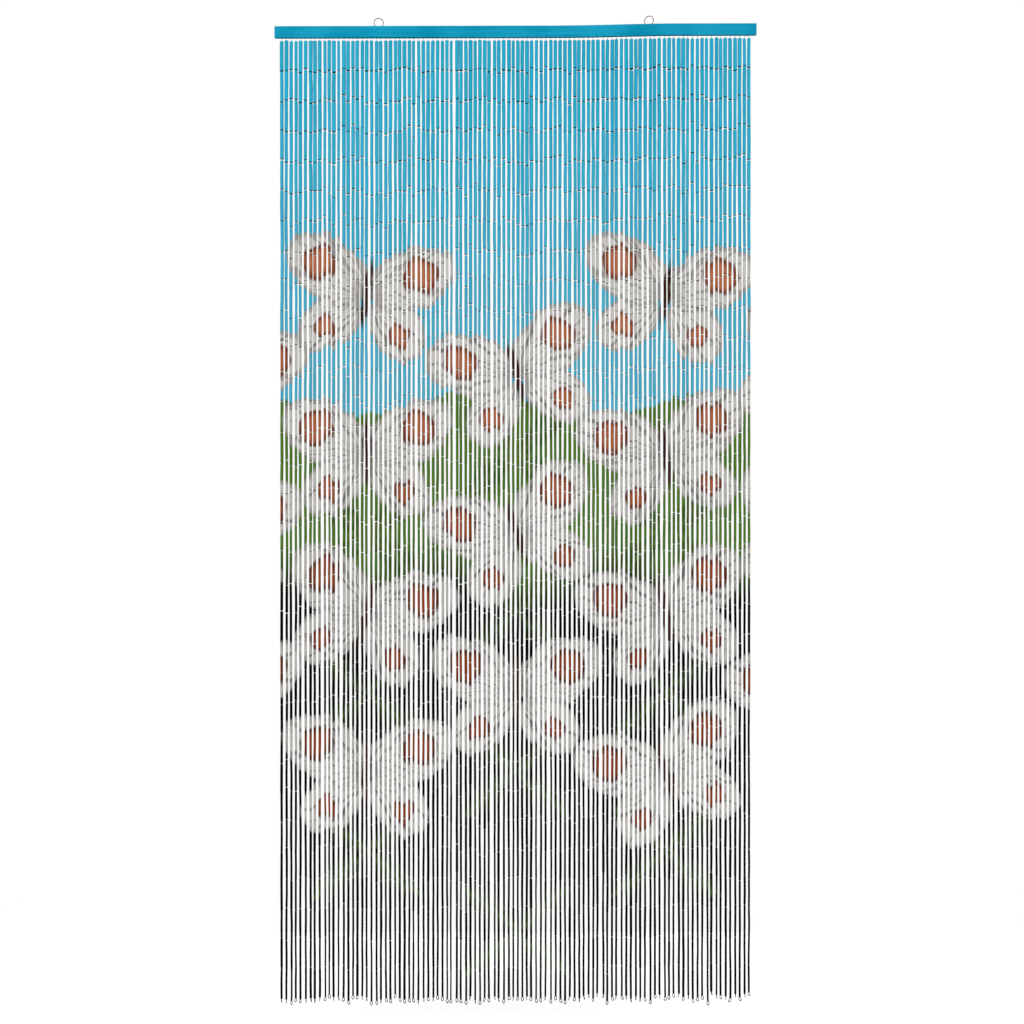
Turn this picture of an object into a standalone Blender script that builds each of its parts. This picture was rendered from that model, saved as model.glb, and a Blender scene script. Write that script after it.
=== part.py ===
"""A bamboo door curtain.

A painted softwood slat, the header, carries two wire eyes in its top edge and a hundred strands of
short bamboo tubes side by side under it. Each strand ends in a small wire ring.

Units are metres, +Z is up, +X runs along the header and the curtain faces -Y. The origin is the
middle of the header's flat back face.
"""

import math
import random

import bmesh
import bpy
from mathutils import Matrix, Vector

# Header slat
HEADER_LONG = 1.000
HEADER_TALL = 0.024
HEADER_DEEP = 0.010
HEADER_ARRIS = 0.0008
HEADER_SEGMENTS = 16
MID_DEPTH = -HEADER_DEEP / 2

# The slat is a little crooked: it climbs evenly along its length, and more in one stretch
CLIMB = 0.0022
CROOK = 0.0039
CROOK_FROM = 0.08
CROOK_TO = 0.34

# Strip that the strands hang from, let into a groove in the header's underside
CLEARANCE = 0.0003
GROOVE_WIDE = 0.0036
GROOVE_DEEP = 0.0043
GROOVE_END = 0.008
STRIP_WIDE = GROOVE_WIDE - 2 * CLEARANCE
STRIP_TALL = GROOVE_DEEP - CLEARANCE
STRIP_LONG = HEADER_LONG - 2 * (GROOVE_END + CLEARANCE)

# Strands
STRANDS = 100
STRAND_SPAN = 0.970
PITCH = STRAND_SPAN / (STRANDS - 1)
TOP_GAP = 0.0072
STRAND_LONG = 1.986
WIRE_WIDE = 0.0012
SHOULDER = 0.0008
NEIGHBOUR_GAP = 0.0005

# How unevenly the strands hang: the spread of each, then the most that is allowed
HOLE_SPREAD = 0.0006
HOLE_MOST = 0.0012
SWAY_SPREAD = 0.0005
SWAY_MOST = 0.0010
DEPTH_SPREAD = 0.0004
DEPTH_MOST = 0.0009
LENGTH_SPREAD = 0.0040
LENGTH_MOST = 0.0090
STRAND_SEED = 7300

# Width of a strand's tubes by how far down they hang: drop share, tube width
TUBE_WIDTHS = (
    (0.00, 0.0077),
    (0.20, 0.0063),
    (0.55, 0.0050),
    (1.00, 0.0038),
)
FOOT = len(TUBE_WIDTHS) - 1

# Strands that lean on a neighbour: strand, row of TUBE_WIDTHS, sideways shift
LEANS = (
    (0, 1, 0.0012),
    (1, 1, -0.0010),
    (90, FOOT, 0.0033),
    (91, FOOT, -0.0008),
)
LOW_STRAND = 90
LOW_STRAND_EXTRA = 0.012

# Long wire ring at a strand's foot, as a flat plate of the ring's outline
RING_WIDE = 0.0064
RING_LONG = 0.0091
RING_NECK = 0.0014
RING_TIP = 0.0024
RING_TOP = 0.0004
EDGE_ON_SHARE = 0.35
EDGE_ON_STRANDS = (91,)
FACE_ON_STRANDS = (90,)

# Hanging eyes: node, place along the header, turn about the vertical in degrees
EYES = (
    ("eye_left", -0.284, 4.0),
    ("eye_right", 0.277, -20.0),
)
EYE_WIRE = 0.0016
EYE_RADIUS = 0.0096
EYE_RISE = 0.0074
EYE_BEND_RISE = 0.0008
EYE_LEG = 0.012
EYE_ARC_STEPS = 14
HOLE_SIDES = 12

# Colours in sRGB, roughness and metallic value
FINISHES = {
    "header": ((8, 154, 188), 0.45, 0.0),
    "strands": ((60, 160, 188), 0.50, 0.0),
    "eye_left": ((176, 178, 180), 0.25, 1.0),
    "eye_right": ((176, 178, 180), 0.25, 1.0),
}


def clear_scene():
    for old in list(bpy.data.objects):
        bpy.data.objects.remove(old, do_unlink=True)


def make_collection(name):
    collection = bpy.data.collections.new(name)
    bpy.context.scene.collection.children.link(collection)
    return collection


def linear(channel):
    """One sRGB channel, 0 to 255, as a linear share."""
    share = channel / 255
    if share <= 0.04045:
        return share / 12.92
    return ((share + 0.055) / 1.055) ** 2.4


def make_material(name):
    colour, roughness, metallic = FINISHES[name]
    material = bpy.data.materials.new(name)
    material.use_nodes = True
    shader = material.node_tree.nodes["Principled BSDF"]
    shader.inputs["Base Color"].default_value = (*[linear(c) for c in colour], 1.0)
    shader.inputs["Roughness"].default_value = roughness
    shader.inputs["Metallic"].default_value = metallic
    return material


def add_part(name, data, collection):
    """A named object with its own material, in the part's collection."""
    part = bpy.data.objects.new(name, data)
    data.materials.append(make_material(name))
    collection.objects.link(part)
    return part


def mesh_from(bm, name):
    bmesh.ops.recalc_face_normals(bm, faces=bm.faces)
    mesh = bpy.data.meshes.new(name)
    bm.to_mesh(mesh)
    bm.free()
    return mesh


def header_rise(x):
    """How much higher the crooked slat lies at x than at its middle."""
    share = min(max((x - CROOK_FROM) / (CROOK_TO - CROOK_FROM), 0.0), 1.0)
    return CLIMB * x / HEADER_LONG + CROOK * share * share * (3 - 2 * share)


def follow_header(bm):
    """Lifts each point by the slat's rise at its place."""
    for vert in bm.verts:
        vert.co.z += header_rise(vert.co.x)


def box_mesh(size, centre):
    bm = bmesh.new()
    place = Matrix.Translation(centre) @ Matrix.Diagonal((*size, 1.0))
    bmesh.ops.create_cube(bm, size=1.0, matrix=place)
    return bm


def cut_across(bm, places):
    """Cuts the mesh all round at each place along X."""
    for x in places:
        everything = [*bm.verts, *bm.edges, *bm.faces]
        bmesh.ops.bisect_plane(bm, geom=everything, plane_co=(x, 0, 0), plane_no=(1, 0, 0))


def header_stations():
    step = HEADER_LONG / HEADER_SEGMENTS
    return [-HEADER_LONG / 2 + step * i for i in range(1, HEADER_SEGMENTS)]


def make_header(parts, cutters):
    """The slat: planed edges, a closed-end groove underneath and two holes for each eye's legs."""
    size = (HEADER_LONG, HEADER_DEEP, HEADER_TALL)
    bm = box_mesh(size, (0, MID_DEPTH, 0))
    bmesh.ops.bevel(bm, geom=bm.edges[:], offset=HEADER_ARRIS, segments=1, affect="EDGES")
    groove_half = HEADER_LONG / 2 - GROOVE_END
    cut_across(bm, [-groove_half, *header_stations(), groove_half])
    cut_groove(bm, groove_half)
    follow_header(bm)
    header = add_part("header", mesh_from(bm, "header"), parts)
    for name, x, turn in EYES:
        for side in (-1, 1):
            drill_leg_hole(header, cutters, f"hole_{name}_{side}", leg_place(x, turn, side))
    return header


def cut_groove(bm, groove_half):
    """Pushes a lengthwise stripe of the underside up into the slat."""
    underside = [
        face
        for face in bm.faces
        if face.normal.z < -0.9 and abs(face.calc_center_median().x) < groove_half
    ]
    for side in (-1, 1):
        edges = {edge for face in underside for edge in face.edges}
        verts = {vert for face in underside for vert in face.verts}
        cut = bmesh.ops.bisect_plane(
            bm,
            geom=[*verts, *edges, *underside],
            plane_co=(0, MID_DEPTH + side * GROOVE_WIDE / 2, 0),
            plane_no=(0, 1, 0),
        )
        underside = [item for item in cut["geom"] if isinstance(item, bmesh.types.BMFace)]
    stripe = [
        face
        for face in underside
        if abs(face.calc_center_median().y - MID_DEPTH) < GROOVE_WIDE / 2
    ]
    raised = bmesh.ops.extrude_face_region(bm, geom=stripe)
    ceiling = [item for item in raised["geom"] if isinstance(item, bmesh.types.BMVert)]
    bmesh.ops.translate(bm, verts=ceiling, vec=(0, 0, GROOVE_DEEP))
    bmesh.ops.delete(bm, geom=stripe, context="FACES")


def eye_frame(x, turn):
    """Turns and moves a shape drawn about the eye's foot onto the header's top edge."""
    foot = Vector((x, MID_DEPTH, HEADER_TALL / 2 + header_rise(x)))
    return Matrix.Translation(foot) @ Matrix.Rotation(math.radians(turn), 4, "Z")


def bend_angle():
    """Angle below level at which the ring of an eye bends into a leg."""
    return math.asin((EYE_RISE - EYE_BEND_RISE) / EYE_RADIUS)


def leg_place(x, turn, side):
    reach = EYE_RADIUS * math.cos(bend_angle())
    return eye_frame(x, turn) @ Vector((side * reach, 0, 0))


def drill_leg_hole(header, cutters, name, place):
    """A round hole straight down from the slat's top edge, cut by a Boolean."""
    depth = EYE_LEG + CLEARANCE
    radius = EYE_WIRE / 2 + CLEARANCE
    bpy.ops.mesh.primitive_cylinder_add(
        vertices=HOLE_SIDES,
        radius=radius / math.cos(math.pi / HOLE_SIDES),
        depth=2 * depth,
        location=place,
    )
    cutter = bpy.context.object
    cutter.name = name
    cutter.hide_render = True
    cutter.display_type = "WIRE"
    for home in list(cutter.users_collection):
        home.objects.unlink(cutter)
    cutters.objects.link(cutter)
    hole = header.modifiers.new(name, "BOOLEAN")
    hole.operation = "DIFFERENCE"
    hole.solver = "EXACT"
    hole.object = cutter


def eye_points():
    """The eye's centreline, drawn upright about its foot: a leg, three quarters of a ring, a leg."""
    bend = bend_angle()
    reach = EYE_RADIUS * math.cos(bend)
    sweep = math.pi + 2 * bend
    points = [Vector((reach, 0, -EYE_LEG)), Vector((reach, 0, 0))]
    for step in range(EYE_ARC_STEPS + 1):
        angle = -bend + sweep * step / EYE_ARC_STEPS
        along = EYE_RADIUS * math.cos(angle)
        points.append(Vector((along, 0, EYE_RISE + EYE_RADIUS * math.sin(angle))))
    points.append(Vector((-reach, 0, 0)))
    points.append(Vector((-reach, 0, -EYE_LEG)))
    return points


def make_eye(name, x, turn, parts):
    """A wire eye, a tube along its centreline with closed ends."""
    curve = bpy.data.curves.new(name, "CURVE")
    curve.dimensions = "3D"
    curve.bevel_depth = EYE_WIRE / 2
    curve.bevel_resolution = 2
    curve.use_fill_caps = True
    points = eye_points()
    line = curve.splines.new("POLY")
    line.points.add(len(points) - 1)
    for point, place in zip(line.points, points):
        point.co = (*place, 1.0)
    eye = add_part(name, curve, parts)
    eye.matrix_world = eye_frame(x, turn)
    return eye


def held(spread, most, draws):
    """A bell-shaped random amount, kept within its limit."""
    return min(max(draws.gauss(0.0, spread), -most), most)


def ring_is_edge_on(strand, draw):
    if strand in EDGE_ON_STRANDS:
        return True
    return draw < EDGE_ON_SHARE and strand not in FACE_ON_STRANDS


def strand_shape(strand):
    """How one strand hangs: its x and y at each row of TUBE_WIDTHS, its length, its ring's turn."""
    draws = random.Random(STRAND_SEED + strand)
    hole = -STRAND_SPAN / 2 + PITCH * strand + held(HOLE_SPREAD, HOLE_MOST, draws)
    across = [hole]
    depths = [MID_DEPTH]
    for _ in TUBE_WIDTHS[1:]:
        across.append(hole + held(SWAY_SPREAD, SWAY_MOST, draws))
        depths.append(MID_DEPTH + held(DEPTH_SPREAD, DEPTH_MOST, draws))
    for leaning, row, shift in LEANS:
        if leaning == strand:
            across[row] += shift
    length = STRAND_LONG + held(LENGTH_SPREAD, LENGTH_MOST, draws)
    if strand == LOW_STRAND:
        length = STRAND_LONG + LOW_STRAND_EXTRA
    return {
        "across": across,
        "depths": depths,
        "length": length,
        "edge_on": ring_is_edge_on(strand, draws.random()),
    }


def ring_plan(shape):
    """Width and depth of the ring's plate: across the view, or edge-on to it."""
    if shape["edge_on"]:
        return WIRE_WIDE, RING_WIDE
    return RING_WIDE, WIRE_WIDE


def row_width(shape, row):
    """The widest thing on a strand near one row of TUBE_WIDTHS."""
    width = TUBE_WIDTHS[row][1]
    if row == FOOT:
        return max(width, ring_plan(shape)[0])
    return width


def all_strand_shapes():
    """Every strand's shape, each moved clear of the one on its left."""
    shapes = [strand_shape(strand) for strand in range(STRANDS)]
    for left, right in zip(shapes, shapes[1:]):
        for row in range(len(TUBE_WIDTHS)):
            apart = (row_width(left, row) + row_width(right, row)) / 2 + NEIGHBOUR_GAP
            right["across"][row] = max(right["across"][row], left["across"][row] + apart)
    return shapes


def strand_sections(shape):
    """The strand's four-sided sections from its root down: centre, width, depth."""
    across, depths = shape["across"], shape["depths"]
    root = header_rise(across[0]) - HEADER_TALL / 2
    top = root - TOP_GAP
    foot = top - shape["length"]
    plate_wide, plate_deep = ring_plan(shape)
    sections = [
        (Vector((across[0], depths[0], root)), WIRE_WIDE, WIRE_WIDE),
        (Vector((across[0], depths[0], top)), WIRE_WIDE, WIRE_WIDE),
    ]
    first, last = top - SHOULDER, foot + SHOULDER
    for (share, width), x, y in zip(TUBE_WIDTHS, across, depths):
        sections.append((Vector((x, y, first + (last - first) * share)), width, width))
    x, y = across[FOOT], depths[FOOT]
    ring_top = foot + RING_TOP
    ring_middle = ring_top - RING_LONG / 2
    sections.append((Vector((x, y, foot)), RING_NECK, RING_NECK))
    sections.append((Vector((x, y, ring_middle)), plate_wide, plate_deep))
    tip_wide = min(RING_TIP, plate_wide)
    tip_deep = min(RING_TIP, plate_deep)
    sections.append((Vector((x, y, ring_top - RING_LONG)), tip_wide, tip_deep))
    return sections


def extend(bm, face, section):
    """Extrudes a four-cornered face and sets the new face's corners on a section."""
    centre, wide, deep = section
    was = face.calc_center_median()
    new = bmesh.ops.extrude_discrete_faces(bm, faces=[face])["faces"][0]
    for vert in new.verts:
        right = math.copysign(wide / 2, vert.co.x - was.x)
        back = math.copysign(deep / 2, vert.co.y - was.y)
        vert.co = centre + Vector((right, back, 0))
    return new


def make_strands(parts):
    """The backing strip, cut into one cell for each strand, with each strand drawn down from its cell."""
    size = (STRIP_LONG, STRIP_WIDE, STRIP_TALL)
    bm = box_mesh(size, (0, MID_DEPTH, STRIP_TALL / 2 - HEADER_TALL / 2))
    first_border = -STRAND_SPAN / 2 - PITCH / 2
    cut_across(bm, [first_border + PITCH * i for i in range(STRANDS + 1)])
    follow_header(bm)
    bm.normal_update()
    cells = [face for face in bm.faces if face.normal.z < -0.9]
    cells.sort(key=lambda face: face.calc_center_median().x)
    for cell, shape in zip(cells[1:-1], all_strand_shapes()):
        end = cell
        for section in strand_sections(shape):
            end = extend(bm, end, section)
    return add_part("strands", mesh_from(bm, "strands"), parts)


def main():
    clear_scene()
    parts = make_collection("bamboo_door_curtain")
    cutters = make_collection("cutters")
    make_header(parts, cutters)
    for name, x, turn in EYES:
        make_eye(name, x, turn, parts)
    make_strands(parts)


main()
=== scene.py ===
# %% [markdown]
# # A bamboo door curtain
#
# The real curtain is a painted softwood slat with two wire eyes to hang it by, and a hundred strings of
# short bamboo tubes under it. The tubes hang from each other by wire: each has a wire through its bore,
# bent into an eye at both ends, and the eyes of neighbours are linked like a chain. A picture is painted
# over all the strings at once. This script dresses the plain solids of the curtain with that detail.
#
# Everything is in metres, +Z up, and the curtain faces -Y.

# %% Load the solids
import functools
import math
import random

import bmesh
import bpy
import numpy as np
from mathutils import Matrix, Vector


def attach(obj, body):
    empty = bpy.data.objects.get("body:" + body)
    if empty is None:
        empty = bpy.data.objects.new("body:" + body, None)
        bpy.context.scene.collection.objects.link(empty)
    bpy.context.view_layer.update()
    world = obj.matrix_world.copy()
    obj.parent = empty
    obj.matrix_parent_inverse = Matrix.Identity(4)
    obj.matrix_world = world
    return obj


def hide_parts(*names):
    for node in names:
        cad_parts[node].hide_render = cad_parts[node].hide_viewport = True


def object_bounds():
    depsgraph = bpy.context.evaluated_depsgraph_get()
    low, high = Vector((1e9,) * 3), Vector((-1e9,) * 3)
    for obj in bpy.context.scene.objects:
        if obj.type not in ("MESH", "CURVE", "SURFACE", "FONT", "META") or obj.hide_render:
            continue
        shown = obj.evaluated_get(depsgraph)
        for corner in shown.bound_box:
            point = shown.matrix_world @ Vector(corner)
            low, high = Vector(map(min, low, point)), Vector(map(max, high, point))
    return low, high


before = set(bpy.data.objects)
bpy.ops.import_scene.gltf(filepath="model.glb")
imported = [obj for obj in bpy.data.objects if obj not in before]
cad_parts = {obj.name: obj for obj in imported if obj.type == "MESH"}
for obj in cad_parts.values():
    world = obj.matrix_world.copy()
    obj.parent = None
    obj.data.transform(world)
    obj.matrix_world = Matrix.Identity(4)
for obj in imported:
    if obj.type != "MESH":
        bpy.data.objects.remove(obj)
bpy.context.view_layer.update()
print("solids", sorted(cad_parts))

# %% [markdown]
# ## Camera
#
# A flat curtain photographed straight on shows its perspective only in small things: the underside of the
# slat, and the hollow ends of the tubes above eye level. They put the lens level with the curtain's middle
# and three and a half metres away, so the camera stands there with a lens that just takes the curtain in.
# A flat tone curve keeps white paper white and the paint's colours as they were mixed.

# %% Place the camera
CAMERA_PLACE = (-0.0073, -3.56, -0.9966)
CAMERA_LENS = 60.2
CAMERA_SENSOR = 36.0

bpy.ops.object.select_all(action="DESELECT")
bpy.ops.object.camera_add(location=CAMERA_PLACE, rotation=(math.radians(90), 0, 0))
camera = bpy.context.object
camera.data.lens = CAMERA_LENS
camera.data.sensor_width = CAMERA_SENSOR
bpy.context.scene.camera = camera
bpy.context.scene.view_settings.view_transform = "Standard"
print("camera at", CAMERA_PLACE, "with a", CAMERA_LENS, "mm lens")

# %% [markdown]
# ## Working by hand, in code
#
# A modeller picks faces or edges by clicking on them. A script has no mouse, so it picks them by where they
# are: a test is tried on each one, and those that pass are selected. Every operator after that acts on the
# selection, as it would on screen.


# %% Pick parts of a mesh by their place
def choose(piece, kind, wanted):
    """Selects the piece's VERT, EDGE or FACE items that pass a test. The piece is in edit mode."""
    bpy.ops.mesh.select_mode(type=kind)
    bpy.ops.mesh.select_all(action="DESELECT")
    shape = bmesh.from_edit_mesh(piece.data)
    items = {"VERT": shape.verts, "EDGE": shape.edges, "FACE": shape.faces}[kind]
    for item in items:
        if wanted(item):
            item.select_set(True)
    shape.select_flush_mode()
    bmesh.update_edit_mesh(piece.data)


def select_only(piece=None):
    """Deselects everything, and then selects one piece, if one is given."""
    bpy.ops.object.select_all(action="DESELECT")
    if piece is not None:
        bpy.context.view_layer.objects.active = piece
        piece.select_set(True)


def open_mesh(name):
    """Names the primitive just added and opens it in edit mode, all selected."""
    piece = bpy.context.object
    piece.name = name
    piece.data.name = name
    bpy.ops.object.mode_set(mode="EDIT")
    bpy.ops.mesh.select_all(action="SELECT")
    return piece


def move_points(piece, matrix, wanted):
    """Moves or turns the points that pass a test. The piece is in edit mode."""
    shape = bmesh.from_edit_mesh(piece.data)
    bmesh.ops.transform(shape, matrix=matrix, verts=[v for v in shape.verts if wanted(v)])
    bmesh.update_edit_mesh(piece.data)


def close_mesh(piece):
    """Turns all faces outwards, leaves edit mode and puts the piece's place in its mesh."""
    bpy.ops.mesh.select_all(action="SELECT")
    bpy.ops.mesh.normals_make_consistent(inside=False)
    bpy.ops.object.mode_set(mode="OBJECT")
    bpy.ops.object.transform_apply(location=True, rotation=True, scale=True)
    print(piece.name, "has", len(piece.data.polygons), "faces")


# %% [markdown]
# ## Header slat
#
# The slat is a planed strip of softwood, not quite straight: it climbs a little towards one end. A box cut
# across in many places can follow that curve, and its arrises are rounded before the cuts, so that the
# bevel stays even. The holes for the strings are drilled while the slat is still straight, with a Boolean,
# because all the drills can then be one object of upright rods.

# %% Sizes of the slat
HEADER_LONG = 1.000
HEADER_TALL = 0.024
HEADER_DEEP = 0.010
MID_DEPTH = -HEADER_DEEP / 2
HEADER_ARRIS, HEADER_ARRIS_STEPS = 0.0008, 3
HEADER_CUTS = 40
HEADER_SHARP = math.radians(40)

CLIMB = 0.0022
CROOK = 0.0039
CROOK_FROM = 0.08
CROOK_TO = 0.34


def header_rise(x):
    """How much higher the crooked slat lies at x than at its middle."""
    share = min(max((x - CROOK_FROM) / (CROOK_TO - CROOK_FROM), 0.0), 1.0)
    return CLIMB * x / HEADER_LONG + CROOK * share * share * (3 - 2 * share)


print("the slat rises", round(1000 * header_rise(HEADER_LONG / 2), 1), "mm at its right end")

# %% [markdown]
# The strings hang where the holes are, so their plan is needed before the drill. It is the same plan that
# the curtain's solids were made from: for each string its hole, how it sways at a few heights, its length,
# and which way its foot ring is turned.

# %% Plan of the strings
STRANDS = 100
STRAND_SPAN = 0.970
PITCH = STRAND_SPAN / (STRANDS - 1)
TOP_GAP = 0.0072
STRAND_LONG = 1.986
NEIGHBOUR_GAP = 0.0005
SHOULDER = 0.0008
WIRE_WIDE = 0.0012

HOLE_SPREAD = 0.0006
HOLE_MOST = 0.0012
SWAY_SPREAD = 0.0005
SWAY_MOST = 0.0010
DEPTH_SPREAD = 0.0004
DEPTH_MOST = 0.0009
LENGTH_SPREAD = 0.0040
LENGTH_MOST = 0.0090
STRAND_SEED = 7300

# Width of the tubes by how far down they hang: drop share, tube width
TUBE_WIDTHS = (
    (0.00, 0.0077),
    (0.20, 0.0063),
    (0.55, 0.0050),
    (1.00, 0.0038),
)
FOOT = len(TUBE_WIDTHS) - 1

# Strings that lean on a neighbour: string, row of TUBE_WIDTHS, sideways shift
LEANS = (
    (0, 1, 0.0012),
    (1, 1, -0.0010),
    (90, FOOT, 0.0033),
    (91, FOOT, -0.0008),
)
LOW_STRAND = 90
LOW_STRAND_EXTRA = 0.012

RING_WIDE = 0.0064
RING_LONG = 0.0091
RING_TOP = 0.0004
EDGE_ON_SHARE = 0.35
EDGE_ON_STRANDS = (91,)
FACE_ON_STRANDS = (90,)


def held(spread, most, draws):
    """A bell-shaped random amount, kept within its limit."""
    return min(max(draws.gauss(0.0, spread), -most), most)


def ring_is_edge_on(strand, draw):
    if strand in EDGE_ON_STRANDS:
        return True
    return draw < EDGE_ON_SHARE and strand not in FACE_ON_STRANDS


def strand_shape(strand):
    """How one string hangs: its x and y at each row of TUBE_WIDTHS, its length, its ring's turn."""
    draws = random.Random(STRAND_SEED + strand)
    hole = -STRAND_SPAN / 2 + PITCH * strand + held(HOLE_SPREAD, HOLE_MOST, draws)
    across = [hole]
    depths = [MID_DEPTH]
    for _ in TUBE_WIDTHS[1:]:
        across.append(hole + held(SWAY_SPREAD, SWAY_MOST, draws))
        depths.append(MID_DEPTH + held(DEPTH_SPREAD, DEPTH_MOST, draws))
    for leaning, row, shift in LEANS:
        if leaning == strand:
            across[row] += shift
    length = STRAND_LONG + held(LENGTH_SPREAD, LENGTH_MOST, draws)
    if strand == LOW_STRAND:
        length = STRAND_LONG + LOW_STRAND_EXTRA
    edge_on = ring_is_edge_on(strand, draws.random())
    return {"across": across, "depths": depths, "length": length, "edge_on": edge_on}


def row_width(shape, row):
    """The widest thing on a string near one row of TUBE_WIDTHS."""
    width = TUBE_WIDTHS[row][1]
    if row == FOOT:
        return max(width, WIRE_WIDE if shape["edge_on"] else RING_WIDE)
    return width


strands = [strand_shape(strand) for strand in range(STRANDS)]
for left, right in zip(strands, strands[1:]):
    for row in range(len(TUBE_WIDTHS)):
        apart = (row_width(left, row) + row_width(right, row)) / 2 + NEIGHBOUR_GAP
        right["across"][row] = max(right["across"][row], left["across"][row] + apart)
print(STRANDS, "strings, the outer ones", strands[0]["across"][0], "and", strands[-1]["across"][0])

# %% Make the slat
DRILL_SIDES = 10
DRILL_WIDE = 0.0024
DRILL_DEEP = 0.0060

select_only()
bpy.ops.mesh.primitive_cube_add(
    size=1.0,
    location=(0, MID_DEPTH, 0),
    scale=(HEADER_LONG, HEADER_DEEP, HEADER_TALL),
)
slat = bpy.context.object
bpy.ops.object.transform_apply(location=True, rotation=True, scale=True)
arris = slat.modifiers.new("arris", "BEVEL")
arris.width = HEADER_ARRIS
arris.segments = HEADER_ARRIS_STEPS
bpy.ops.object.modifier_apply(modifier="arris")
open_mesh("header_slat")
for cut in range(1, HEADER_CUTS):
    place = HEADER_LONG * (cut / HEADER_CUTS - 0.5)
    bpy.ops.mesh.select_all(action="SELECT")
    bpy.ops.mesh.bisect(plane_co=(place, 0, 0), plane_no=(1, 0, 0))
close_mesh(slat)

# %% [markdown]
# The eyes' legs need holes in the top edge too. Where each leg goes comes from the eye's own shape: a ring
# of wire whose two ends turn down through a small bend into the wood.

# %% Where the eyes stand
# Hanging eyes: name, place along the slat, turn about the vertical in degrees
EYES = (
    ("eye_left", -0.284, 4.0),
    ("eye_right", 0.277, -20.0),
)
EYE_WIRE = 0.0016
EYE_RADIUS = 0.0096
EYE_RISE = 0.0074
EYE_BEND_RISE = 0.0008
EYE_LEG = 0.012
EYE_BEND = 0.0010
EYE_SIDES, EYE_BEND_STEPS, EYE_RING_STEPS = 10, 4, 28
EYE_SHARP = math.radians(60)
EYE_FIT = 0.0001

eye_angle = math.asin((EYE_RISE - EYE_BEND_RISE) / EYE_RADIUS)
leg_reach = EYE_RADIUS * math.cos(eye_angle) - EYE_BEND * (1 - math.cos(eye_angle))
leg_top = EYE_RISE - (EYE_RADIUS + EYE_BEND) * math.sin(eye_angle)


def eye_frame(x, turn, rise):
    """Turns and moves a shape drawn about the eye's foot onto the slat's top edge."""
    foot = Vector((x, MID_DEPTH, HEADER_TALL / 2 + rise))
    return Matrix.Translation(foot) @ Matrix.Rotation(math.radians(turn), 4, "Z")


print("the legs stand", round(2000 * leg_reach, 2), "mm apart")

# %% Drill the slat
select_only()
drills = None
for shape in strands:
    bpy.ops.mesh.primitive_cylinder_add(
        vertices=DRILL_SIDES,
        radius=DRILL_WIDE / 2,
        depth=2 * DRILL_DEEP,
        location=(shape["across"][0], MID_DEPTH, -HEADER_TALL / 2),
    )
    if drills is None:
        drills = open_mesh("drills")
for _, x, turn in EYES:
    for side in (-1, 1):
        bpy.ops.mesh.primitive_cylinder_add(
            vertices=DRILL_SIDES,
            radius=EYE_WIRE / 2 + EYE_FIT,
            depth=2 * EYE_LEG,
            location=eye_frame(x, turn, 0) @ Vector((side * leg_reach, 0, 0)),
        )
bpy.ops.object.mode_set(mode="OBJECT")
print("drills with", len(drills.data.polygons), "faces, at", tuple(drills.location))
bpy.ops.object.transform_apply(location=True)

select_only(slat)
holes = slat.modifiers.new("holes", "BOOLEAN")
holes.operation = "DIFFERENCE"
holes.solver = "EXACT"
holes.object = drills
bpy.ops.object.modifier_apply(modifier="holes")
bpy.data.objects.remove(drills, do_unlink=True)
for point in slat.data.vertices:
    point.co.z += header_rise(point.co.x)
bpy.ops.object.shade_smooth_by_angle(angle=HEADER_SHARP)
print("the drilled slat has", len(slat.data.polygons), "faces")

# %% [markdown]
# ## Hanging eyes
#
# Each eye is one length of drawn wire. A circle of the wire's thickness is drawn along the eye's line: up
# the first leg by Extrude, out through the small bend and round the ring by Spin, and down the second leg.
# Spin keeps the wire's thickness even in the bends, which moving points by hand would not. It turns
# clockwise about its axis, so an axis that points at the viewer gives a turn to the left on screen.

# %% Make the eyes
# Points that are nearer to each other than this are one point
ONE_PLACE = 1e-6


def make_eye(name, x, turn):
    select_only()
    bpy.ops.mesh.primitive_circle_add(vertices=EYE_SIDES, radius=EYE_WIRE / 2, location=(0, 0, 0))
    eye = open_mesh(name)
    bpy.ops.transform.translate(value=(leg_reach, 0, -EYE_LEG))
    bpy.ops.mesh.extrude_region_move(TRANSFORM_OT_translate={"value": (0, 0, EYE_LEG + leg_top)})
    outer = leg_reach + EYE_BEND
    sweep = math.pi + 2 * eye_angle
    bpy.ops.mesh.spin(steps=EYE_BEND_STEPS, angle=eye_angle, center=(outer, 0, leg_top), axis=(0, -1, 0))
    bpy.ops.mesh.spin(steps=EYE_RING_STEPS, angle=sweep, center=(0, 0, EYE_RISE), axis=(0, 1, 0))
    bpy.ops.mesh.spin(steps=EYE_BEND_STEPS, angle=eye_angle, center=(-outer, 0, leg_top), axis=(0, -1, 0))
    bpy.ops.mesh.extrude_region_move(TRANSFORM_OT_translate={"value": (0, 0, -EYE_LEG - leg_top)})
    bpy.ops.mesh.select_all(action="SELECT")
    bpy.ops.mesh.remove_doubles(threshold=ONE_PLACE)
    bpy.ops.mesh.fill_holes(sides=EYE_SIDES)
    eye.matrix_world = eye_frame(x, turn, header_rise(x))
    close_mesh(eye)
    bpy.ops.object.shade_smooth_by_angle(angle=EYE_SHARP)
    return eye


eyes = [make_eye(f"{name}_wire", x, turn) for name, x, turn in EYES]

# %% [markdown]
# ## One bamboo tube
#
# A tube is a length of thin bamboo, sawn off square and tumbled, so that its ends lose their sharp arris.
# It starts as a ten-sided cylinder of middling size. Both ends are inset by the wall and bridged, which
# opens the bore, then the outer end edges are bevelled, and one cut round the middle lets a copy bow a
# little, as bamboo does. Ten sides are enough for something five millimetres thick that comes by the
# thousand.

# %% Model the tube
TUBE_SIDES = 10
TUBE_WIDE = 0.0050
TUBE_LONG = 0.0620
TUBE_WALL = 0.0009
TUBE_ARRIS = 0.00028
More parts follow.
